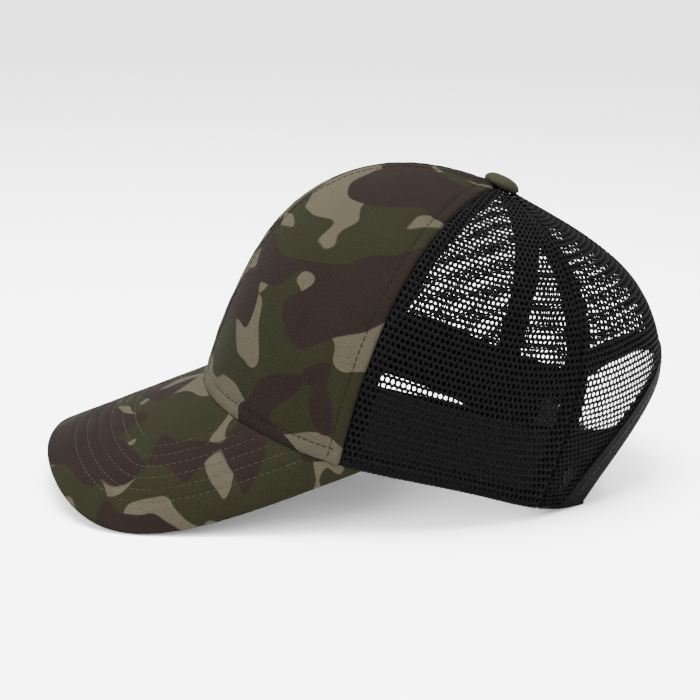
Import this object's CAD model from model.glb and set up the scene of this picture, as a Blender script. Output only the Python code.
"""A six-panel trucker cap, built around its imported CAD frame.

The cap frame used below is the upright cap: the base edge lies in XY, the brim points to -Y and the wearer's
left is +X. Lengths in it are millimetres; world() turns them into metres on the resting cap.
psi is the angle about the button's axis, 0 at the front centre, and t runs from 0 at the button to 1 at the
base.
"""

from math import cos, pi, radians, sin

import bpy
import numpy as np
from mathutils import Matrix, Vector

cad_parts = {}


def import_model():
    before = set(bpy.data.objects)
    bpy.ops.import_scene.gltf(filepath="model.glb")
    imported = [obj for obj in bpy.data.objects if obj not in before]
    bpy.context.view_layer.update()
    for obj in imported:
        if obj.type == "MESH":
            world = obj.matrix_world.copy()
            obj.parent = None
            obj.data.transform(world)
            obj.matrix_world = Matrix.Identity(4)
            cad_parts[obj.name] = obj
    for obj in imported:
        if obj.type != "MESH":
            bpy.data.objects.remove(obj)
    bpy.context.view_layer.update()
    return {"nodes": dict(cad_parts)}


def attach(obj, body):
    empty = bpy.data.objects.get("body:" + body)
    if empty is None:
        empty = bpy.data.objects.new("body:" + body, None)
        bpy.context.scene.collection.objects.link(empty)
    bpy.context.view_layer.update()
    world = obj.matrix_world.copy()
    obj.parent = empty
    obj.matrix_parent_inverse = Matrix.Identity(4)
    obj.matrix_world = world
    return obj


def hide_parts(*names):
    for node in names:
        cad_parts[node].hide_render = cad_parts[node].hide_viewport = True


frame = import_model()

# ------------------------------------------------------------------ sizes shared with the CAD part

HALF_WIDTH, FRONT_REACH, REAR_REACH = 79.5, 71.0, 127.6
BUTTON_BACK, CROWN_HEIGHT = 37.7, 118.2
REAR_RISE, REAR_DROOP, DROOP_PSI, DROOP_SPREAD = -3.4, 4.0, 126.0, 25.8
TOP_HANDLE, TOP_ANGLE = (97.5, 82.0, 71.0), (7.4, -13.4, -14.8)
BASE_HANDLE, BASE_ANGLE = (55.4, 43.3, 96.1), (-2.7, 6.9, 13.6)
FRONT_SEAM, BACK_SEAM = 57.4, 123.3
TOP_HOLE_T = 0.014
ARCH_HALF_WIDTH, ARCH_HEIGHT = 48.4, 63.0
SWEATBAND_HEIGHT, SWEATBAND_DEPTH = 36.0, (4.2, 5.1)
BRIM_SLOPE, BRIM_LENGTH, BRIM_SIDE_ANGLE = 34.8, 76.5, 88.0
BRIM_POWER, BRIM_EASE, BRIM_LAST_TURN = 3.6, 0.08, 87.5
BRIM_CORNER, BRIM_GAP = 6.5, 0.4
BRIM_THICKNESS = 3.0
BUTTON_RADIUS, BUTTON_HEIGHT, BUTTON_TILT = 8.0, 4.6, 11.0
TILT, REST_Y, REST_Z = 13.32, -0.93, 28.27

# Sizes that only the looks have
NET_CELL_WIDTH, NET_CELL_HEIGHT = 2.3, 3.6
NET_HOLE = 0.62             # hole size as a share of its cell
HOLE_STRETCH = (1.02, 0.78)  # the hole is wider for its cell than it is tall
CELL_POINTS = 12            # points around a cell and around its hole
FIRST_NET_ROW = 0.3         # the lowest row's middles lie this far above the base edge
NET_UNDER_BINDING = 3.0
NET_SLACK = 0.5             # height of the net's waves
NET_THICKNESS = 0.4
NET_ROUNDING = 0.14         # the middle of a yarn stands this far above its sides
PANEL_THICKNESS = 0.3
LINING_DEPTH = (1.15, 0.35)  # the front lining's depth and thickness
LINING_MARGIN = 2.5         # the lining stops this far from the seams
STITCH_LENGTH, STITCH_PITCH, STITCH_RADIUS = 2.3, 2.9, 0.2
BRIM_ROWS, BRIM_ROW_START, BRIM_ROW_PITCH = 6, 13.0, 5.8
BRIM_GROOVE = 0.32          # how deep a stitch row pulls the cover in
BRIM_SWELL = 0.42           # how far the cloth rises again between the rows
BRIM_TUCK = 0.7             # the covers run this far past the seam with the crown
HEM_HEIGHT, HEM_END_PSI = 6.0, 144.5
SEAM_STITCH = 5.5           # topstitching beside a seam
BASE_STITCH = 6.0           # topstitching above the base edge
BINDING_STITCH = 4.5        # topstitching on the binding, from the opening's edge
SEAM_GAP = 0.06             # cloth meets almost edge to edge at a sewn seam
SEAM_RIDGE, SEAM_DIP = 0.4, 0.75
STITCH_DIP, BASE_STITCH_DIP, STITCH_DIP_WIDTH = 0.22, 0.25, 0.7
PUCKER, BASE_RIDGE = 0.16, 0.2
PANEL_FULLNESS = 0.3        # how far the printed panels bulge off the crown's surface on average
MM = 0.001

# ------------------------------------------------------------------ geometry of the cap


def world(points):
    """Cap-frame millimetres to metres on the resting cap."""
    points = np.asarray(points, float)
    x, y, z = points[..., 0], points[..., 1], points[..., 2]
    c, s = cos(radians(TILT)), sin(radians(TILT))
    return np.stack([x, y * c + z * s + REST_Y, z * c - y * s + REST_Z], -1) * MM


def base_edge(psi):
    """Radius of the base edge from the button's axis, and its height."""
    side, back = np.sin(psi), -np.cos(psi)

    def ray(reach):
        square = (side / HALF_WIDTH) ** 2 + (back / reach) ** 2
        linear = 2 * BUTTON_BACK * back / reach**2
        constant = (BUTTON_BACK / reach) ** 2 - 1
        return (-linear + np.sqrt(linear**2 - 4 * square * constant)) / (2 * square)

    rear = ray(REAR_REACH)
    radius = np.where(BUTTON_BACK + back * rear >= 0, rear, ray(FRONT_REACH))
    y = BUTTON_BACK + back * radius
    turn = np.degrees(np.abs((psi + pi) % (2 * pi) - pi))
    height = -REAR_DROOP * np.exp(-(((turn - DROOP_PSI) / DROOP_SPREAD) ** 2))
    return radius, height + np.where(y > 0, REAR_RISE * (y / REAR_REACH) ** 2, 0)


def mixed(values, psi):
    """A front, side and back value, mixed for psi."""
    front, side, back = values
    return side * np.sin(psi) ** 2 + np.cos(psi) ** 2 * np.where(np.cos(psi) > 0, front, back)


def crown_surface(psi, t):
    """Points of the crown's outer surface in the cap frame."""
    psi, t = np.broadcast_arrays(np.asarray(psi, float), np.asarray(t, float))
    radius, height = base_edge(psi)
    top, low = mixed(TOP_HANDLE, psi), mixed(BASE_HANDLE, psi)
    top_angle, low_angle = np.radians(mixed(TOP_ANGLE, psi)), np.radians(mixed(BASE_ANGLE, psi))
    a, b, c = 3 * t * (1 - t) ** 2, 3 * t * t * (1 - t), t**3
    r = a * top * np.cos(top_angle) + b * (radius + low * np.sin(low_angle)) + c * radius
    z = (1 - t) ** 3 * CROWN_HEIGHT + a * (CROWN_HEIGHT + top * np.sin(top_angle))
    z = z + b * (height + low * np.cos(low_angle)) + c * height
    return np.stack([r * np.sin(psi), BUTTON_BACK - r * np.cos(psi), z], -1)


def crown(psi, t, lift=0.0):
    """Points lifted off the crown's outer surface, and the outward directions there."""
    psi, t = np.broadcast_arrays(np.asarray(psi, float), np.asarray(t, float))
    step = 1e-3
    around = crown_surface(psi + step, t) - crown_surface(psi - step, t)
    down = crown_surface(psi, np.minimum(t + step, 1)) - crown_surface(psi, np.maximum(t - step, 1e-4))
    out = -np.cross(around, down)
    out /= np.linalg.norm(out, axis=-1, keepdims=True)
    return crown_surface(psi, t) + out * np.asarray(lift)[..., None], out


def around_metric(psi, t):
    """Millimetres along the surface per radian of psi."""
    step = 1e-3
    return np.linalg.norm(crown_surface(psi + step, t) - crown_surface(psi - step, t), axis=-1) / (2 * step)


def t_at_height(psi, height):
    """Where a meridian is this high above the base edge."""
    psi, height = np.broadcast_arrays(np.asarray(psi, float), np.asarray(height, float))
    low, high = np.full(psi.shape, 0.2), np.ones(psi.shape)
    target = base_edge(psi)[1] + height
    for _ in range(26):
        middle = (low + high) / 2
        above = crown_surface(psi, middle)[..., 2] > target
        low, high = np.where(above, middle, low), np.where(above, high, middle)
    return high


SECTION_RISE = FRONT_REACH * sin(radians(BRIM_SLOPE))
JUNCTION_REACH = FRONT_REACH * cos(radians(BRIM_SLOPE))
SIDE_ANGLE = radians(BRIM_SIDE_ANGLE)
section_angles = np.linspace(-SIDE_ANGLE, SIDE_ANGLE, 721)
section_speed = np.hypot(HALF_WIDTH * np.cos(section_angles), SECTION_RISE * np.sin(section_angles))
section_length = np.concatenate([[0], np.cumsum((section_speed[1:] + section_speed[:-1]) / 2)])
section_length *= section_angles[1] - section_angles[0]
section_length -= section_length[-1] / 2


def brim(angle, reach, lift=0.0):
    """Points of the brim's top surface, lifted off it, and the directions off it."""
    slope = radians(BRIM_SLOPE)
    across = np.stack([SECTION_RISE * np.sin(angle), HALF_WIDTH * np.cos(angle)], -1)
    across /= np.linalg.norm(across, axis=-1, keepdims=True)
    x = HALF_WIDTH * np.sin(angle) + lift * across[..., 0]
    rise = SECTION_RISE * np.cos(angle) + lift * across[..., 1]
    points = np.stack([
        x, -reach * cos(slope) - rise * sin(slope), -reach * sin(slope) + rise * cos(slope),
    ], -1)
    out = np.stack([across[..., 0], -across[..., 1] * sin(slope), across[..., 1] * cos(slope)], -1)
    return points, out


def brim_edge(turn):
    """Flat-pattern places (along the section, down the slope) of the brim's outer edge."""
    round_off = (np.abs(np.sin(turn)) ** BRIM_POWER + np.abs(np.cos(turn)) ** BRIM_POWER) ** (-1 / BRIM_POWER)
    angle = SIDE_ANGLE * np.sin(turn) * round_off
    tip = JUNCTION_REACH + BRIM_LENGTH
    ease = 1 - BRIM_EASE * np.sin(2 * turn) ** 2
    reach = BRIM_CORNER + (tip - BRIM_CORNER) * np.cos(turn) * round_off * ease
    return np.stack([np.interp(angle, section_angles, section_length), reach], -1)


def section_angle(along):
    """The brim section's angle at a length along it."""
    return np.interp(along, section_length, section_angles)


LAST_TURN = radians(BRIM_LAST_TURN)
edge_line = brim_edge(np.linspace(-LAST_TURN, LAST_TURN, 361))


def edge_distance(flat):
    """Distance of flat-pattern places from the brim's outer edge."""
    shape = flat.shape[:-1]
    flat = flat.reshape(-1, 2)
    starts, ends = edge_line[:-1], edge_line[1:]
    runs = ends - starts
    nearest = np.full(len(flat), 1e9)
    for start, run in zip(starts, runs):
        share = np.clip(((flat - start) @ run) / (run @ run), 0, 1)
        nearest = np.minimum(nearest, np.linalg.norm(flat - start - share[:, None] * run, axis=1))
    return nearest.reshape(shape)


def ripple(points, wavelength, seed):
    """Smooth repeatable unevenness between about -1 and 1, from a few crossed waves."""
    rng = np.random.default_rng(seed)
    total = 0
    for _ in range(6):
        direction = rng.normal(size=3)
        direction /= np.linalg.norm(direction)
        size = wavelength * rng.uniform(0.7, 1.5)
        total = total + np.sin(points @ direction * 2 * pi / size + rng.uniform(0, 2 * pi))
    return total / 3


# ------------------------------------------------------------------ materials


class Shader:
    """A short way to write a material's node tree."""

    def __init__(self, name, roughness=0.8, **sockets):
        self.material = bpy.data.materials.new(name)
        self.material.use_nodes = True
        self.tree = self.material.node_tree
        self.bsdf = self.tree.nodes["Principled BSDF"]
        self.bsdf.inputs["Roughness"].default_value = roughness
        for socket, value in sockets.items():
            self.bsdf.inputs[socket.replace("_", " ")].default_value = value

    def node(self, kind, links=None, **settings):
        """A new node; settings are properties, or socket values where there is no such property."""
        node = self.tree.nodes.new(kind)
        for key, value in settings.items():
            if hasattr(node, key):
                setattr(node, key, value)
            else:
                node.inputs[key.replace("_", " ")].default_value = value
        for socket, source in (links or {}).items():
            self.tree.links.new(source, node.inputs[socket])
        return node

    def link(self, source, socket):
        self.tree.links.new(source, self.bsdf.inputs[socket])

    def cloth_place(self, scale, offset=(0, 0, 0)):
        """Flat-pattern coordinates in metres, from the piece's UV map, stretched by scale."""
        place = self.node("ShaderNodeUVMap", uv_map="cloth").outputs[0]
        mapping = self.node("ShaderNodeMapping", {"Vector": place})
        mapping.inputs["Scale"].default_value = scale
        mapping.inputs["Location"].default_value = offset
        return mapping.outputs[0]

    def solid_place(self):
        return self.node("ShaderNodeTexCoord").outputs["Object"]

    def math(self, operation, a, b):
        node = self.node("ShaderNodeMath", operation=operation)
        for index, value in enumerate((a, b)):
            if isinstance(value, (int, float)):
                node.inputs[index].default_value = value
            else:
                self.tree.links.new(value, node.inputs[index])
        return node.outputs[0]

    def step(self, value, edge, softness):
        """0 below the edge and 1 above it."""
        ramp = self.node("ShaderNodeMapRange", {"Value": value})
        ramp.inputs["From Min"].default_value = edge - softness
        ramp.inputs["From Max"].default_value = edge + softness
        return ramp.outputs[0]

    def mix(self, share, a, b, blend="MIX"):
        """Two colours mixed by a share, which may be a number or a socket."""
        node = self.node("ShaderNodeMix", data_type="RGBA", blend_type=blend)
        for socket, value in ((node.inputs[0], share), (node.inputs[6], a), (node.inputs[7], b)):
            if isinstance(value, (int, float)):
                socket.default_value = value
            elif isinstance(value, tuple):
                socket.default_value = (*value, 1)
            else:
                self.tree.links.new(value, socket)
        return node.outputs[2]

    def noise(self, place, scale, detail=2.0, roughness=0.5, distortion=0.0):
        node = self.node("ShaderNodeTexNoise", {"Vector": place})
        node.inputs["Scale"].default_value = scale
        node.inputs["Detail"].default_value = detail
        node.inputs["Roughness"].default_value = roughness
        node.inputs["Distortion"].default_value = distortion
        return node.outputs[0]

    def weave(self, place, pitch, angle=45.0):
        """Twill: fine slanting ribs of warp crossed by weft, between 0 and 1."""
        mapping = self.node("ShaderNodeMapping", {"Vector": place})
        mapping.inputs["Rotation"].default_value = (0, 0, radians(angle))
        ribs = self.node("ShaderNodeTexWave", {"Vector": mapping.outputs[0]}, wave_profile="SIN")
        ribs.inputs["Scale"].default_value = 1 / pitch / pi
        ribs.inputs["Distortion"].default_value = 1.2
        ribs.inputs["Detail"].default_value = 1.0
        cross = self.node("ShaderNodeTexWave", {"Vector": place}, wave_profile="SIN", bands_direction="Y")
        cross.inputs["Scale"].default_value = 1 / pitch / pi
        return self.math("ADD", self.math("MULTIPLY", ribs.outputs[1], 0.6),
                         self.math("MULTIPLY", cross.outputs[1], 0.4))

    def bump(self, height, distance, strength=1.0):
        node = self.node("ShaderNodeBump", {"Height": height})
        node.inputs["Distance"].default_value = distance
        node.inputs["Strength"].default_value = strength
        self.link(node.outputs[0], "Normal")


OLIVE, BROWN, KHAKI = (0.0064, 0.0063, 0.0030), (0.0058, 0.0038, 0.0031), (0.026, 0.0228, 0.0155)
KHAKI_EDGE, BROWN_EDGE = 0.55, 0.54  # the noise level where each colour's blotches start
PRINT_SOFTNESS = 0.004


def camouflage(name, offset, cloth_shade=1.0):
    """Cotton twill printed with a generic camouflage of rounded blotches."""
    shader = Shader(name, roughness=0.88, Specular_IOR_Level=0.03)
    place = shader.cloth_place((1, 1, 1))
    print_place = shader.cloth_place((0.75, 1.0, 1), offset)
    khaki = shader.noise(print_place, 32, detail=1.0, roughness=0.4, distortion=1.0)
    shifted = shader.cloth_place((0.85, 1.0, 1), (offset[0] + 3.1, offset[1] + 1.7, 0))
    brown = shader.noise(shifted, 30, detail=0.6, roughness=0.3, distortion=0.7)
    color = shader.mix(shader.step(khaki, KHAKI_EDGE, PRINT_SOFTNESS), OLIVE, KHAKI)
    color = shader.mix(shader.step(brown, BROWN_EDGE, PRINT_SOFTNESS), color, BROWN)
    weave = shader.weave(place, 0.0007)
    fleck = shader.noise(place, 900, 3.0, 0.7)
    wear = shader.noise(place, 55, 4.0, 0.6)
    tone = shader.math("ADD", shader.math("MULTIPLY", fleck, 0.5), shader.math("MULTIPLY", wear, 0.35))
    tone = shader.math("ADD", tone, shader.math("MULTIPLY", weave, 0.25))
    tone = shader.math("MULTIPLY", shader.math("ADD", tone, 0.45), cloth_shade)
    tint = shader.node("ShaderNodeCombineColor", {"Red": tone, "Green": tone, "Blue": tone}).outputs[0]
    shader.link(shader.mix(1.0, color, tint, "MULTIPLY"), "Base Color")
    height = shader.math("ADD", weave, shader.math("MULTIPLY", fleck, 0.6))
    shader.bump(height, 0.00022, 0.8)
    return shader.material


def plain_cloth(name, color, pitch, roughness=0.85, gloss=0.03, place_is_solid=True, variation=0.25):
    """Woven cloth of one dye: fine weave, slubs and slight unevenness of colour."""
    shader = Shader(name, roughness=roughness, Specular_IOR_Level=gloss)
    place = shader.solid_place() if place_is_solid else shader.cloth_place((1, 1, 1))
    weave = shader.weave(place, pitch)
    slub = shader.noise(place, 0.35 / pitch, 3.0, 0.65)
    broad = shader.noise(place, 40, 3.0, 0.6)
    fine_tone = shader.math("MULTIPLY", slub, variation)
    broad_tone = shader.math("MULTIPLY", broad, variation)
    tone = shader.math("ADD", fine_tone, broad_tone)
    tone = shader.math("ADD", tone, 1 - variation)
    tint = shader.node("ShaderNodeCombineColor", {"Red": tone, "Green": tone, "Blue": tone}).outputs[0]
    shader.link(shader.mix(1.0, color, tint, "MULTIPLY"), "Base Color")
    shader.bump(shader.math("ADD", weave, slub), pitch * 0.35, 0.9)
    return shader.material


def moulded_plastic(name, color, roughness=0.42):
    """Moulded plastic with a faint grain and handling marks."""
    shader = Shader(name, roughness=roughness, Specular_IOR_Level=0.2)
    place = shader.solid_place()
    grain = shader.noise(place, 2600, 2.0, 0.6)
    smudge = shader.noise(place, 90, 4.0, 0.65)
    level = shader.math("ADD", shader.math("MULTIPLY", smudge, 0.22), roughness - 0.1)
    shader.link(level, "Roughness")
    lighter = tuple(c * 1.9 for c in color)
    shader.link(shader.mix(shader.math("MULTIPLY", smudge, 0.35), color, lighter), "Base Color")
    shader.bump(grain, 0.00006, 0.5)
    return shader.material


def pressed_metal(name):
    """Drawn aluminium with fine scratches."""
    shader = Shader(name, roughness=0.38, Metallic=1.0)
    place = shader.solid_place()
    scratch = shader.noise(place, 700, detail=6.0, roughness=0.8, distortion=2.0)
    shader.link(shader.math("ADD", shader.math("MULTIPLY", scratch, 0.3), 0.22), "Roughness")
    shader.link(shader.mix(scratch, (0.55, 0.55, 0.56), (0.72, 0.72, 0.72)), "Base Color")
    shader.bump(scratch, 0.00003, 0.4)
    return shader.material


# ------------------------------------------------------------------ mesh building


def side_name(side):
    """The name of the cap's left (1) or right (-1) side."""
    return "left" if side > 0 else "right"


def make_piece(name, points, faces, material, uv=None, body="crown", replaces=(), flat=False):
    """A mesh object from world points, riding on a body."""
    mesh = bpy.data.meshes.new(name)
    mesh.from_pydata(np.asarray(points).reshape(-1, 3).tolist(), [], [list(face) for face in faces])
    mesh.update()
    if uv is not None:
        layer = mesh.uv_layers.new(name="cloth")
        loops = np.empty(len(mesh.loops), int)
        mesh.loops.foreach_get("vertex_index", loops)
        layer.data.foreach_set("uv", (np.asarray(uv).reshape(-1, 2)[loops] * MM).ravel())
    if not flat:
        mesh.shade_smooth()
    piece = bpy.data.objects.new(name, mesh)
    bpy.context.scene.collection.objects.link(piece)
    mesh.materials.append(material)
    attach(piece, body)
    if replaces:
        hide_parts(*replaces)
    return piece


def grid_faces(rows, columns, wrap=False, flip=False):
    """Quads of a grid of points; wrap joins the last row to the first."""
    index = np.arange(rows * columns).reshape(rows, columns)
    if wrap:
        index = np.vstack([index, index[:1]])
    quads = np.stack([index[:-1, :-1], index[:-1, 1:], index[1:, 1:], index[1:, :-1]], -1).reshape(-1, 4)
    return quads[:, ::-1] if flip else quads


def thicken(piece, thickness, offset=-1.0):
    """Gives a sheet real thickness, inwards by default."""
    modifier = piece.modifiers.new("thickness", "SOLIDIFY")
    modifier.thickness = thickness * MM
    modifier.offset = offset


def stitch_template():
    """One thread float: an oval sunk at both ends. Its X is along the seam and its Z is off the cloth."""
    ring_x, ring_r = (-0.42, 0.0, 0.42), (0.85, 1.0, 0.85)
    corners = np.arange(6) * pi / 3
    points = [(-0.5, 0, -0.9)]
    for x, r in zip(ring_x, ring_r):
        points += [(x, r * np.cos(c), 0.8 * r * np.sin(c) + 0.25 - 2.2 * x * x) for c in corners]
    points.append((0.5, 0, -0.9))
    faces = [(0, 1 + (k + 1) % 6, 1 + k) for k in range(6)]
    for ring in range(2):
        for k in range(6):
            a, b = 1 + ring * 6 + k, 1 + ring * 6 + (k + 1) % 6
            faces.append((a, b, b + 6, a + 6))
    faces += [(19, 13 + k, 13 + (k + 1) % 6) for k in range(6)]
    return np.array(points, float), faces


STITCH_POINTS, STITCH_FACES = stitch_template()


def stitches(name, rows, material, body="crown", seed=1, radius=STITCH_RADIUS):
    """Thread floats along rows. Each row is (points, outward directions) in the cap frame."""
    rng = np.random.default_rng(seed)
    all_points, all_faces = [], []
    for line, out in rows:
        steps = np.linalg.norm(np.diff(line, axis=0), axis=1)
        length = np.concatenate([[0], np.cumsum(steps)])
        if length[-1] < 2 * STITCH_PITCH:
            continue
        count = int(length[-1] / STITCH_PITCH)
        middles = (np.arange(count) + 0.5) * length[-1] / count + rng.normal(0, 0.06, count)
        place = np.stack([np.interp(middles, length, line[:, k]) for k in range(3)], -1)
        ahead = np.stack([np.interp(middles + 0.5, length, line[:, k]) for k in range(3)], -1)
        behind = np.stack([np.interp(middles - 0.5, length, line[:, k]) for k in range(3)], -1)
        z = np.stack([np.interp(middles, length, out[:, k]) for k in range(3)], -1)
        x = ahead - behind
        x /= np.linalg.norm(x, axis=1, keepdims=True)
        x = x + np.cross(z, x) * rng.normal(0.05, 0.03, count)[:, None]
        y = np.cross(z, x)
        size = STITCH_LENGTH * rng.uniform(0.92, 1.06, count)
        for k in range(count):
            local = STITCH_POINTS * (size[k], radius, radius)
            points = place[k] + local[:, :1] * x[k] + local[:, 1:2] * y[k] + local[:, 2:] * z[k]
            base = len(all_points) * len(STITCH_POINTS)
            all_points.append(points)
            all_faces += [tuple(base + i for i in face) for face in STITCH_FACES]
    return make_piece(name, world(np.concatenate(all_points)), all_faces, material, body=body)


def panel_row(psi, t, side):
    """A stitch row on a front panel, from its places on the left one."""
    line, out = crown(psi, t, panel_lift(psi, t, side) + 0.1)
    return line * (side, 1, 1), out * (side, 1, 1)


def beside_seam(seam, distance, start_t=0.06, end_t=0.985, count=120):
    """Places of a row beside a seam, this far from it along the surface."""
    t = np.linspace(start_t, end_t, count)
    return radians(seam) + distance / around_metric(np.full(count, radians(seam)), t), t


# ------------------------------------------------------------------ crown panels


def hump(distance, middle, width):
    """A smooth bump, 1 high at its middle."""
    return np.exp(-(((distance - middle) / width) ** 2))


def seam_profile(distance):
    """How far cloth stands off the surface beside a seam: it dips in, then rides over the turned edge."""
    return SEAM_RIDGE * hump(distance, 2.6, 2.2) - SEAM_DIP * hump(distance, 0, 0.8)


def panel_lift(psi, t, side):
    """How far a front panel's cloth stands off the crown: puckered along its seams and stitching."""
    edge_psi = radians(FRONT_SEAM)
    metric = around_metric(psi, t)
    flat = crown_surface(psi, t)
    lift = PANEL_FULLNESS * (1 + ripple(flat, 62.0, 11 + side))
    for distance in (metric * psi, metric * (edge_psi - psi)):
        lift = lift + seam_profile(distance)
        row = distance - SEAM_STITCH
        lift = lift - STITCH_DIP * hump(row, 0, STITCH_DIP_WIDTH)
        lift = lift + PUCKER * hump(row, 0, 4.0) * ripple(flat, 7.0, 3)
    height = (1 - t) * 3 * mixed(BASE_HANDLE, psi)  # near the base edge, about the height above it
    base_ridge = BASE_RIDGE * hump(height, 2.5, 2.0)
    return lift + base_ridge - BASE_STITCH_DIP * hump(height, BASE_STITCH, STITCH_DIP_WIDTH)


def front_panel(side, material):
    """A printed front panel."""
    columns, rows = 110, 150
    share = np.linspace(0, 1, columns)[:, None]
    t = np.linspace(TOP_HOLE_T, 1, rows)[None, :]
    edge_psi = radians(FRONT_SEAM)
    from_axis = crown_surface(np.full_like(t, edge_psi), t) - (0, BUTTON_BACK, 0)
    radius = np.linalg.norm(from_axis[..., :2], axis=-1)
    trim = SEAM_GAP / 2 / radius
    psi = trim + (edge_psi - 2 * trim) * share
    t = np.broadcast_to(t, psi.shape)
    metric = around_metric(psi, t)
    points, _ = crown(psi, t, panel_lift(psi, t, side))
    steps = np.linalg.norm(np.diff(crown_surface(psi, t), axis=1), axis=-1)
    up = np.concatenate([np.zeros((columns, 1)), np.cumsum(steps, axis=1)], axis=1)
    middle = metric * (psi - edge_psi / 2)
    uv = np.stack([middle, up[:, -1:] - up], -1)
    points[..., 0] *= side
    name = side_name(side)
    piece = make_piece(
        f"front_panel_cloth_{name}",
        world(points),
        grid_faces(columns, rows, flip=side < 0),
        material,
        uv,
        replaces=[f"front_panel_{name}"],
    )
    thicken(piece, PANEL_THICKNESS)
    return piece


def front_lining(material):
    """The stiff lining behind both front panels, trimmed clear of the side seams and the base edge."""
    columns, rows = 90, 70
    t = np.linspace(4 * TOP_HOLE_T, 1, rows)[None, :]
    edge_psi = radians(FRONT_SEAM)
    trim = LINING_MARGIN / around_metric(np.full_like(t, edge_psi), t)
    psi = np.linspace(-1, 1, columns)[:, None] * (edge_psi - trim)
    t = np.minimum(t, t_at_height(psi, LINING_MARGIN))
    points, _ = crown(psi, t, -LINING_DEPTH[0] + 0.12 * ripple(crown_surface(psi, t), 30.0, 61))
    uv = np.stack([around_metric(psi, t) * psi, t * CROWN_HEIGHT], -1)
    piece = make_piece(
        "front_lining",
        world(points),
        grid_faces(columns, rows),
        material,
        uv,
        replaces=["front_backing_left", "front_backing_right"],
    )
    thicken(piece, LINING_DEPTH[1])
    return piece


def panel_arcs(start, end):
    """Tables for a panel's flat pattern: t, psi, length across at each (psi, t), height up its middle."""
    t_table = np.linspace(TOP_HOLE_T, 1, 160)
    psi_table = np.linspace(radians(start), radians(end), 90)
    grid = crown_surface(psi_table[:, None], t_table[None, :])
    across = np.linalg.norm(np.diff(grid, axis=0), axis=-1)
    across = np.vstack([np.zeros((1, len(t_table))), np.cumsum(across, axis=0)])
    across -= across[len(psi_table) // 2]
    middle = grid[len(psi_table) // 2]
    up = np.concatenate([[0], np.cumsum(np.linalg.norm(np.diff(middle, axis=0), axis=1))])
    return t_table, psi_table, across, up[-1] - up


def net_cell():
    """Outlines of one cell around its middle: the hexagon along the yarns, and the hole inside it."""
    outer = []
    for k in range(6):
        here, after = radians(60 * k + 30), radians(60 * k + 90)
        corner = np.array([NET_CELL_WIDTH / 3**0.5 * cos(here), NET_CELL_HEIGHT / 2 * sin(here)])
        following = np.array([NET_CELL_WIDTH / 3**0.5 * cos(after), NET_CELL_HEIGHT / 2 * sin(after)])
        outer += [corner, (corner + following) / 2]
    turns = np.radians(np.arange(CELL_POINTS) * 360 / CELL_POINTS + 30)
    hole_x = np.cos(turns) * NET_CELL_WIDTH / 2 * HOLE_STRETCH[0]
    hole_y = np.sin(turns) * NET_CELL_HEIGHT / 2 * HOLE_STRETCH[1]
    return np.array(outer), np.stack([hole_x, hole_y], -1) * NET_HOLE


def cell_middles(t_table, across, up):
    """Middles of the cells that cover a panel's flat pattern, in offset rows."""
    cells = []
    row_pitch = 0.75 * NET_CELL_HEIGHT
    for row in range(int(up[0] / row_pitch) + 2):
        b = FIRST_NET_ROW + row * row_pitch
        t = np.interp(-b, -up, t_table)
        low = np.interp(t, t_table, across[0])
        high = np.interp(t, t_table, across[-1])
        for column in range(int(low / NET_CELL_WIDTH) - 1, int(high / NET_CELL_WIDTH) + 2):
            a = (column + 0.5 * (row % 2)) * NET_CELL_WIDTH
            if low - NET_CELL_WIDTH / 2 < a < high + NET_CELL_WIDTH / 2 and b < up[0] + 1:
                cells.append((a, b))
    return np.array(cells)


def onto_crown(cloth, t_table, psi_table, across, up):
    """psi and t of flat-pattern places, held inside the panel's seams and above its base edge."""
    b = np.clip(cloth[:, 1], 0, up[0] - 0.05)
    t = np.interp(-b, -up, t_table)
    psi = np.empty(len(cloth))
    column = np.clip(np.searchsorted(t_table, t) - 1, 0, len(t_table) - 2)
    share = (t - t_table[column]) / (t_table[column + 1] - t_table[column])
    margin = SEAM_GAP / 2
    for i in range(len(cloth)):
        lengths = across[:, column[i]] * (1 - share[i]) + across[:, column[i] + 1] * share[i]
        sideways = np.clip(cloth[i, 0], lengths[0] + margin, lengths[-1] - margin)
        psi[i] = np.interp(sideways, lengths, psi_table)
    return psi, t


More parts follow.
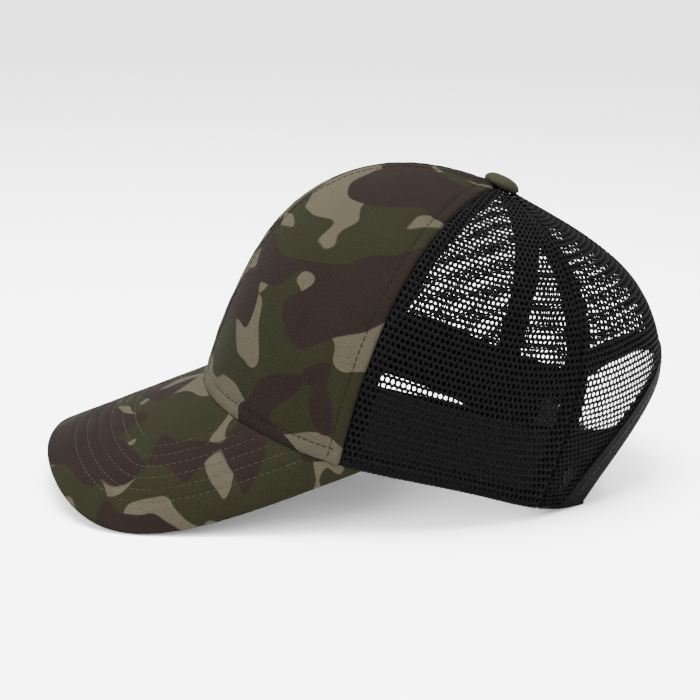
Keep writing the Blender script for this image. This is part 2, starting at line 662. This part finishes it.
def net_panel(label, start, end, side, material):
    """A net panel between two seams: a honeycomb of yarn with rounded holes, cut off at the seams."""
    t_table, psi_table, across, up = panel_arcs(start, end)
    outer, inner = net_cell()
    cells = cell_middles(t_table, across, up)
    count = len(cells)
    rng = np.random.default_rng(int(end))
    uneven = inner * rng.uniform(0.9, 1.1, (count, 1, 2)) + rng.normal(0, 0.04, (count, 1, 2))
    cloth = np.concatenate([cells[:, None] + outer, cells[:, None] + uneven], axis=1).reshape(-1, 2)
    on_yarn = np.tile(np.repeat([1.0, -1.0], CELL_POINTS), count)
    # Neighbouring cells share their outlines.
    nearest = np.round(cloth * 50).astype(int)
    _, first, inverse = np.unique(nearest, axis=0, return_index=True, return_inverse=True)
    inverse = inverse.ravel()
    cloth, on_yarn = cloth[first], on_yarn[first]
    psi, t = onto_crown(cloth, t_table, psi_table, across, up)
    metric = around_metric(psi, t)
    lift = 0.0
    for seam in (radians(start), radians(end)):
        lift = lift + seam_profile(metric * np.abs(psi - seam))
    flat = crown_surface(psi, t)
    lift = lift + NET_SLACK * ripple(flat, 55.0, 21 + side) - 0.05 + NET_ROUNDING * on_yarn
    points, _ = crown(psi, t, lift)
    quads = []
    for k in range(CELL_POINTS):
        after = (k + 1) % CELL_POINTS
        block = np.arange(count) * 2 * CELL_POINTS
        ring = [block + k, block + after, block + CELL_POINTS + after, block + CELL_POINTS + k]
        quads.append(np.stack(ring, -1))
    quads = inverse[np.concatenate(quads)]
    # The net ends under the binding of the rear opening.
    centre = flat[quads].mean(1)
    across_arch = centre[:, 0] / (ARCH_HALF_WIDTH + NET_UNDER_BINDING)
    up_arch = (centre[:, 2] - REAR_RISE) / (ARCH_HEIGHT + NET_UNDER_BINDING)
    keep = (across_arch**2 + up_arch**2 > 1) | (centre[:, 1] < REAR_REACH / 2)
    # Faces pressed flat at the panel's edges are left out.
    sizes = np.linalg.norm(flat[quads[:, 0]] - flat[quads[:, 1]], axis=1)
    sizes += np.linalg.norm(flat[quads[:, 2]] - flat[quads[:, 3]], axis=1)
    quads = quads[keep & (sizes > 0.02)]
    points[:, 0] *= side
    if side < 0:
        quads = quads[:, ::-1]
    used, remap = np.unique(quads, return_inverse=True)
    name = side_name(side)
    piece = make_piece(
        f"{label}_net_{name}",
        world(points[used]),
        remap.reshape(-1, 4),
        material,
        cloth[used],
        replaces=[f"{label}_mesh_{name}"],
    )
    thicken(piece, NET_THICKNESS)
    return piece


def hem(side, material):
    """The net's turned-up lower edge, from the brim's corner to the rear opening."""
    psi = np.radians(np.linspace(FRONT_SEAM - 0.6, HEM_END_PSI, 190))
    # (off the crown's surface, above the base edge): rolled around the edge, then turned up behind the net
    section = [
        (0.0, -0.15), (0.4, 0.0), (0.5, 0.3), (0.3, 0.9), (-0.4, 1.2),
        (-0.45, HEM_HEIGHT), (-0.9, HEM_HEIGHT), (-1.0, 1.0), (-0.7, 0.0),
    ]
    ripples = 0.16 * ripple(crown_surface(psi, np.ones_like(psi)), 6.0, 31)
    rows = []
    for lift, height in section:
        t = t_at_height(psi, max(height, 0.0))
        points, _ = crown(psi, t, lift + ripples)
        points[:, 2] += min(height, 0.0)
        rows.append(points)
    grid = np.stack(rows)
    grid[..., 0] *= side
    faces = grid_faces(len(section), len(psi), wrap=True, flip=side < 0)
    caps = [list(range(0, len(section) * len(psi), len(psi)))]
    caps.append([i + len(psi) - 1 for i in caps[0]][::-1])
    length = np.cumsum(np.full(len(psi), 1.3))
    uv = np.stack(np.broadcast_arrays(length[None, :], np.array([h for _, h in section])[:, None]), -1)
    name = side_name(side)
    all_faces = [*faces.tolist(), *caps]
    return make_piece(f"net_hem_{name}", world(grid), all_faces, material, uv)


# ------------------------------------------------------------------ brim


def brim_cover(name, node, upper, material):
    """One cover of the brim, quilted by its stitch rows and rolled over the edge."""
    columns, rows, edge_rows = 260, 96, 7
    turn = np.linspace(-LAST_TURN, LAST_TURN, columns)[:, None]
    outer = brim_edge(turn)
    inner_angle = SIDE_ANGLE * np.sin(turn)
    inner = np.stack(
        [
            np.interp(inner_angle, section_angles, section_length),
            JUNCTION_REACH * np.cos(inner_angle) + BRIM_GAP - BRIM_TUCK,
        ],
        -1,
    )
    share = np.linspace(0, 1, rows)[None, :, None]
    flat = inner + (outer - inner) * share
    distance = edge_distance(flat)
    phase = (distance - BRIM_ROW_START) / BRIM_ROW_PITCH
    beyond = BRIM_ROW_PITCH * np.maximum(-phase, phase - BRIM_ROWS + 1)
    swell = np.where(beyond > 0, np.tanh(beyond / 1.2), np.abs(np.sin(pi * phase)) ** 0.6)
    quilt = BRIM_SWELL * swell - BRIM_GROOVE
    to_crown = np.linalg.norm(flat - inner, axis=-1)
    quilt = quilt * np.clip(to_crown / 4, 0, 1) + 0.1 * ripple(np.dstack([flat, 0 * distance]), 24.0, 41)
    lift = quilt if upper else -BRIM_THICKNESS - quilt
    angle = section_angle(flat[..., 0])
    points, _ = brim(angle, flat[..., 1], lift)
    edge_points, edge_out = points[:, -1], brim(angle[:, -1], flat[:, -1, 1])[1]
    outward = edge_points - points[:, -4]
    outward /= np.linalg.norm(outward, axis=-1, keepdims=True)
    ring = [points]
    half = BRIM_THICKNESS / 2
    for step in range(1, edge_rows):
        bend = pi / 2 * step / (edge_rows - 1)
        drop = half * (1 - cos(bend)) * (-1 if upper else 1)
        rolled = edge_points + outward * 0.6 * sin(bend) + edge_out * drop
        ring.append(rolled[:, None])
    points = np.concatenate(ring, axis=1)
    flat_extra = flat[:, -1:] + np.array([0, 1.0]) * np.arange(1, edge_rows)[None, :, None] * 0.4
    uv = np.concatenate([flat, flat_extra], axis=1)
    piece = make_piece(
        name,
        world(points),
        grid_faces(columns, rows + edge_rows - 1, flip=not upper),
        material,
        uv,
        replaces=[node],
    )
    thicken(piece, 0.45)
    return piece


def brim_row(inset, upper=True):
    """A stitch row this far inside the brim's outer edge, ending at the crown."""
    line = brim_edge(np.linspace(-LAST_TURN, LAST_TURN, 721))
    run = np.gradient(line, axis=0)
    run /= np.linalg.norm(run, axis=1, keepdims=True)
    inward = np.stack([run[:, 1], -run[:, 0]], -1)
    inward *= np.where(inward[len(line) // 2, 1] > 0, -1, 1)
    row = line + inward * inset
    angle = section_angle(row[:, 0])
    clear = row[:, 1] > JUNCTION_REACH * np.cos(angle) + 3.5
    clear &= edge_distance(row) > inset - 0.3
    clear &= np.abs(row[:, 0]) < section_length[-1] - 1
    row, angle = row[clear], angle[clear]
    lift = 0.05 - BRIM_GROOVE if upper else BRIM_GROOVE - 0.05 - BRIM_THICKNESS
    points, out = brim(angle, row[:, 1], lift)
    return points, out if upper else -out


# ------------------------------------------------------------------ sweatband, button


def binding_row(distance, lift):
    """A stitch row around the rear opening, this far from its edge."""
    turn = np.radians(np.linspace(3, 177, 240))
    x = (ARCH_HALF_WIDTH + distance) * np.cos(turn)
    z = REAR_RISE + (ARCH_HEIGHT + distance) * np.sin(turn)
    psi = pi - x / REAR_REACH
    for _ in range(14):
        t = t_at_height(psi, z - base_edge(psi)[1])
        reach = np.linalg.norm(crown_surface(psi, t)[..., :2] - (0, BUTTON_BACK), axis=-1)
        psi = pi - np.arcsin(np.clip(x / reach, -1, 1))
    return crown(psi, t, lift)


def opening_psi(height):
    """Where the sweatband ends beside the rear opening, at a height above the base edge."""
    psi = np.radians(np.linspace(125, 165, 200))
    points = crown_surface(psi, t_at_height(psi, height))
    span, rise = ARCH_HALF_WIDTH + 2, ARCH_HEIGHT + 2
    inside = (points[:, 0] / span) ** 2 + ((points[:, 2] - REAR_RISE) / rise) ** 2 - 1
    return psi[np.argmax(inside < 0)]


def sweatband(material):
    """The folded cloth band inside the base edge."""
    outer_depth, inner_depth = SWEATBAND_DEPTH
    heights = np.concatenate([np.linspace(1.2, SWEATBAND_HEIGHT - 1, 12), [SWEATBAND_HEIGHT - 0.3]])
    section = [(outer_depth, h) for h in heights] + [((outer_depth + inner_depth) / 2, SWEATBAND_HEIGHT)]
    section += [(inner_depth + 0.5 * sin(pi * i / 12), h) for i, h in enumerate(heights[::-1])]
    share = np.linspace(-1, 1, 260)
    rows = []
    for depth, height in section:
        psi = share * opening_psi(height)
        t = t_at_height(psi, height)
        puff = 0.25 * ripple(crown_surface(psi, t), 16.0, 51)
        points, _ = crown(psi, t, -(depth + puff + 0.2))
        rows.append(points)
    grid = np.stack(rows)
    faces = grid_faces(len(section), len(share), wrap=True, flip=True)
    caps = [list(range(0, len(section) * len(share), len(share)))[::-1]]
    caps.append([i + len(share) - 1 for i in caps[0]][::-1])
    uv = np.stack(np.broadcast_arrays((share * 280)[None, :], np.arange(len(section))[:, None] * 3.0), -1)
    piece = make_piece(
        "sweatband_cloth", world(grid), [*faces.tolist(), *caps], material, uv, replaces=["sweatband"],
    )
    return piece


def button_axes():
    """Place and directions of the button, in the cap frame."""
    tilt = radians(BUTTON_TILT)
    return np.array([0, BUTTON_BACK, CROWN_HEIGHT]), np.array([0, cos(tilt), -sin(tilt)]), np.array(
        [0, sin(tilt), cos(tilt)])


def button_cover(material):
    """The covered button: cloth drawn over a dome, gathered under its rim."""
    profile = [(0.0, 1.0), (0.25, 0.985), (0.5, 0.93), (0.7, 0.84), (0.85, 0.7), (0.95, 0.52), (1.0, 0.34),
               (0.985, 0.2), (0.93, 0.1), (0.84, 0.04), (0.7, 0.02)]
    around = np.linspace(0, 2 * pi, 72, endpoint=False)
    origin, back, up = button_axes()
    rows = []
    for radius, height in profile:
        gather = 1 + 0.012 * np.sin(14 * around) * max(0, 0.7 - height) * 2
        r = radius * BUTTON_RADIUS * gather
        z = BUTTON_HEIGHT * height - 0.35 + 0.05 * np.sin(3 * around + 1) * radius
        outwards = np.cos(around)[:, None] * (1, 0, 0) + np.sin(around)[:, None] * back
        rows.append(origin + r[:, None] * outwards + z[:, None] * up)
    grid = np.stack(rows, 1)
    faces = grid_faces(len(around), len(profile), wrap=True, flip=True)
    uv = np.stack([grid[..., 0], grid[..., 1]], -1)
    piece = make_piece("button_cloth", world(grid), faces, material, uv, replaces=["button_cover"])
    thicken(piece, 0.4)
    return piece


# ------------------------------------------------------------------ assembly


def dress_nodes(materials):
    """Puts a finished material on each CAD node that stays."""
    for material, names in materials.items():
        for name in names:
            node = frame["nodes"][name]
            node.data.materials.clear()
            node.data.materials.append(material)


camo_left = camouflage("camo_twill_left", (0.31, 0.05, 0))
camo_right = camouflage("camo_twill_right", (0.92, 0.44, 0))
camo_brim = camouflage("camo_twill_brim", (1.53, 0.87, 0))
net_yarn = plain_cloth("net_yarn", (0.0013, 0.0013, 0.0014), 0.0006, roughness=0.6, gloss=0.03)
tape_cloth = plain_cloth("seam_tape_twill", (0.0014, 0.0014, 0.0015), 0.0008, roughness=0.75)
band_cloth = plain_cloth("sweatband_twill", (0.0015, 0.0015, 0.0016), 0.0008, roughness=0.85)
backing_cloth = plain_cloth("buckram", (0.34, 0.335, 0.315), 0.0009, roughness=0.9)
olive_cloth = plain_cloth("button_twill", (0.013, 0.013, 0.0075), 0.0007, roughness=0.88)
foam = plain_cloth("foam", (0.01, 0.01, 0.01), 0.0011, roughness=0.95)
black_plastic = moulded_plastic("strap_polyethylene", (0.004, 0.004, 0.004))
board_plastic = moulded_plastic("brim_board", (0.03, 0.03, 0.03), 0.5)
metal = pressed_metal("button_metal")
brim_thread = plain_cloth("brim_thread", (0.020, 0.018, 0.0125), 0.0004, roughness=0.6)
dark_thread = plain_cloth("dark_thread", (0.004, 0.004, 0.0035), 0.0004, roughness=0.55)
binding_thread = plain_cloth("binding_thread", (0.012, 0.012, 0.012), 0.0004, roughness=0.5, gloss=0.1)
under_cloth = plain_cloth("brim_under_twill", (0.007, 0.007, 0.0062), 0.0007, roughness=0.88,
                          place_is_solid=False)

dress_nodes({
    tape_cloth: ["front_center_tape", "back_center_tape", "front_side_tape_left", "front_side_tape_right",
                 "side_back_tape_left", "side_back_tape_right", "arch_binding"],
    foam: ["sweatband_padding"],
    board_plastic: ["brim_board"],
    metal: ["button_shell", "button_rivet", "button_washer"],
    black_plastic: ["hole_strap", "peg_strap", "strap_tab_left", "strap_tab_right"],
})

front_lining(backing_cloth)
for side, cloth in ((1, camo_left), (-1, camo_right)):
    front_panel(side, cloth)
    net_panel("side", FRONT_SEAM, BACK_SEAM, side, net_yarn)
    net_panel("back", BACK_SEAM, 180, side, net_yarn)
    hem(side, net_yarn)

brim_cover("brim_top_cloth", "brim_top_cover", True, camo_brim)
brim_cover("brim_under_cloth", "brim_under_cover", False, under_cloth)
sweatband(band_cloth)
button_cover(olive_cloth)


base_psi = np.radians(np.linspace(2, FRONT_SEAM - 2, 90))
row_places = [beside_seam(FRONT_SEAM, -SEAM_STITCH), beside_seam(0, SEAM_STITCH)]
row_places.append((base_psi, t_at_height(base_psi, BASE_STITCH)))
front_rows = [panel_row(psi, t, side) for psi, t in row_places for side in (1, -1)]
stitches("front_topstitching", front_rows, dark_thread, seed=5)
brim_rows = [brim_row(BRIM_ROW_START + BRIM_ROW_PITCH * k) for k in range(BRIM_ROWS)]
stitches("brim_stitching_top", brim_rows, brim_thread, seed=6)
brim_rows = [brim_row(BRIM_ROW_START + BRIM_ROW_PITCH * k, upper=False) for k in range(BRIM_ROWS)]
stitches("brim_stitching_under", brim_rows, dark_thread, seed=7)
hem_psi = np.radians(np.linspace(FRONT_SEAM + 3, 143, 160))
line, out = crown(hem_psi, t_at_height(hem_psi, HEM_HEIGHT - 1), 0.1)
hem_rows = [(line * (side, 1, 1), out * (side, 1, 1)) for side in (1, -1)]
stitches("hem_stitching", hem_rows, dark_thread, seed=8)
stitches("binding_stitching", [binding_row(BINDING_STITCH, 0.65)], binding_thread, seed=9)

# ------------------------------------------------------------------ floor, light and camera

CAMERA_AZIMUTH, CAMERA_ELEVATION, CAMERA_ROLL = radians(85.44), radians(16.01), radians(1.25)
CAMERA_DISTANCE, CAMERA_LENS = 0.6226, 69.37
CAMERA_TARGET = Vector((0, REST_Y - 2.43, REST_Z + 29.43)) * MM


def studio():
    """A pale floor, a white surround and large soft lamps."""
    bpy.ops.mesh.primitive_plane_add(size=8, location=(0, 0, 0))
    floor = bpy.context.object
    floor.name = "floor"
    shader = Shader("floor_white", roughness=0.9, Specular_IOR_Level=0.1)
    speckle = shader.noise(shader.solid_place(), 30, 3.0)
    shader.link(shader.mix(speckle, (0.95, 0.95, 0.95), (0.97, 0.97, 0.97)), "Base Color")
    floor.data.materials.append(shader.material)
    surround = bpy.data.worlds.new("surround")
    surround.use_nodes = True
    surround.node_tree.nodes["Background"].inputs[0].default_value = (1, 1, 1, 1)
    surround.node_tree.nodes["Background"].inputs[1].default_value = 2.8
    bpy.context.scene.world = surround
    # name, place in metres, size in metres, power in watts
    lamps = (
        ("top_softbox", (0.1, -0.1, 1.3), 0.8, 84.0),
        ("key_softbox", (0.9, -0.9, 0.9), 0.7, 24.0),
        ("fill_softbox", (0.9, 0.9, 0.6), 0.9, 4.0),
    )
    for name, place, size, power in lamps:
        lamp = bpy.data.lights.new(name, "AREA")
        lamp.shape, lamp.size, lamp.energy = "SQUARE", size, power
        light = bpy.data.objects.new(name, lamp)
        light.location = place
        light.rotation_euler = (Vector((0, 0, 0.06)) - Vector(place)).to_track_quat("-Z", "Y").to_euler()
        bpy.context.scene.collection.objects.link(light)


def camera():
    """The camera at the picture's angle."""
    back = Vector((
        sin(CAMERA_AZIMUTH) * cos(CAMERA_ELEVATION),
        -cos(CAMERA_AZIMUTH) * cos(CAMERA_ELEVATION),
        sin(CAMERA_ELEVATION),
    ))
    data = bpy.data.cameras.new("camera")
    data.lens, data.sensor_width = CAMERA_LENS, 36
    eye = bpy.data.objects.new("camera", data)
    bpy.context.scene.collection.objects.link(eye)
    eye.location = CAMERA_TARGET + back * CAMERA_DISTANCE
    rotation = (-back).to_track_quat("-Z", "Y").to_matrix() @ Matrix.Rotation(CAMERA_ROLL, 3, "Z")
    eye.rotation_euler = rotation.to_euler()
    bpy.context.scene.camera = eye


studio()
camera()

bpy.context.view_layer.update()
